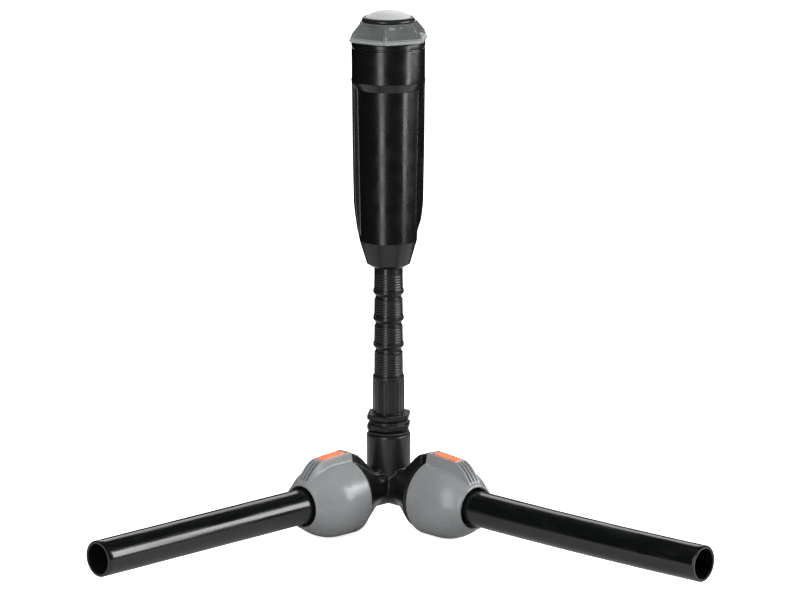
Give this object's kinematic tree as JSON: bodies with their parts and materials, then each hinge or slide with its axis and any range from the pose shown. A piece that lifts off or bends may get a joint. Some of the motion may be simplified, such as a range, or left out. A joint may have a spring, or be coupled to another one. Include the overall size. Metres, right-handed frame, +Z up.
{
  "type": "pop up sprinkler",
  "caption": "Turbine-driven pop-up lawn sprinkler on a cut-to-length riser and a corner tee, with quick-release connections for two supply pipes.",
  "frame": {"origin": "where the axes of the two supply pipes cross the sprinkler's vertical axis, inside the corner tee", "axes": "+Z up along the sprinkler, -X along the left supply pipe, -Y along the right supply pipe"},
  "size_m": [0.2979, 0.3198, 0.3678],
  "materials": {
    "black_plastic": "satin black moulded plastic",
    "black_pipe": "smooth black polyethylene with faint extrusion lines",
    "grey_plastic": "satin mid grey moulded plastic",
    "light_grey_plastic": "fine matt light grey",
    "orange_plastic": "satin orange",
    "white_plastic": "natural acetal, slightly waxy",
    "black_rubber": "matt",
    "stainless_steel": "drawn wire and turned pins"
  },
  "bodies": {
    "base": {"corner_tee": "black_plastic", "pipe_seal_left": "black_rubber", "thrust_ring_left": "white_plastic", "grip_ring_left": "white_plastic", "supply_pipe_left": "black_pipe", "pipe_seal_right": "black_rubber", "thrust_ring_right": "white_plastic", "grip_ring_right": "white_plastic", "supply_pipe_right": "black_pipe", "extension_riser": "black_plastic", "riser_gasket": "black_rubber", "body_case": "black_plastic", "retaining_cap": "grey_plastic", "cap_seal": "black_rubber", "wiper_seal": "black_rubber", "spring_washer": "white_plastic", "retraction_spring": "stainless_steel"},
    "nut_left": {"union_nut_left": "grey_plastic", "lock_marker_left": "orange_plastic"},
    "nut_right": {"union_nut_right": "grey_plastic", "lock_marker_right": "orange_plastic"},
    "stem": {"popup_stem": "black_plastic", "inlet_filter": "white_plastic", "stator_plate": "white_plastic", "centre_axle": "stainless_steel", "offset_axle": "stainless_steel", "gear_case_floor": "white_plastic", "gear_case_cover": "white_plastic"},
    "turbine": {"turbine_wheel": "white_plastic"},
    "gear_1": {"reduction_gear_1": "white_plastic"},
    "gear_2": {"reduction_gear_2": "white_plastic"},
    "gear_3": {"reduction_gear_3": "white_plastic"},
    "turret": {"output_shaft": "white_plastic", "nozzle_turret": "black_plastic", "nozzle_insert": "grey_plastic", "turret_cover": "light_grey_plastic"},
    "arc_ring": {"arc_ring": "black_plastic"},
    "trip_lever": {"trip_lever": "white_plastic"},
    "radius_screw": {"radius_screw": "stainless_steel"}
  },
  "joints": [
    {"name": "stem_rise", "type": "slide", "parent": "base", "child": "stem", "axis": [0, 0, 1], "range_m": [0, 0.085], "stiffness_N_per_m": 180, "springref_m": -0.02, "deforming": ["retraction_spring"]},
    {"name": "turret_turn", "type": "hinge", "parent": "stem", "child": "turret", "pos_m": [0, 0, 0.319], "axis": [0, 0, 1], "continuous": true},
    {"name": "turbine_spin", "type": "hinge", "parent": "stem", "child": "turbine", "pos_m": [0, 0, 0.2163], "axis": [0, 0, 1], "continuous": true},
    {"name": "gear_1_spin", "type": "hinge", "parent": "stem", "child": "gear_1", "pos_m": [0.00401, -0.00486, 0.226], "axis": [0, 0, 1], "continuous": true},
    {"name": "gear_2_spin", "type": "hinge", "parent": "stem", "child": "gear_2", "pos_m": [0, 0, 0.2295], "axis": [0, 0, 1], "continuous": true},
    {"name": "gear_3_spin", "type": "hinge", "parent": "stem", "child": "gear_3", "pos_m": [0.00401, -0.00486, 0.233], "axis": [0, 0, 1], "continuous": true},
    {"name": "arc_ring_turn", "type": "hinge", "parent": "turret", "child": "arc_ring", "pos_m": [0, 0, 0.307], "axis": [0, 0, 1], "range_deg": [-170, 170]},
    {"name": "trip_lever_tilt", "type": "hinge", "parent": "stem", "child": "trip_lever", "pos_m": [0.00648, 0.00534, 0.301], "axis": [0, 0, 1], "range_deg": [-12, 12]},
    {"name": "radius_screw_turn", "type": "hinge", "parent": "turret", "child": "radius_screw", "pos_m": [0.00972, 0.00801, 0.333], "axis": [0, 0, 1], "range_deg": [-360, 360]},
    {"name": "nut_left_turn", "type": "hinge", "parent": "base", "child": "nut_left", "pos_m": [-0.06, 0, 0], "axis": [-1, 0, 0], "range_deg": [0, 140]},
    {"name": "nut_right_turn", "type": "hinge", "parent": "base", "child": "nut_right", "pos_m": [0, -0.06, 0], "axis": [0, -1, 0], "range_deg": [0, 140]}
  ],
  "couplings": [
    {"joint": "gear_3_spin", "follows": "turret_turn", "ratio": -1.8},
    {"joint": "gear_2_spin", "follows": "turret_turn", "ratio": 3.24},
    {"joint": "gear_1_spin", "follows": "turret_turn", "ratio": -5.832},
    {"joint": "turbine_spin", "follows": "turret_turn", "ratio": 10.498}
  ]
}
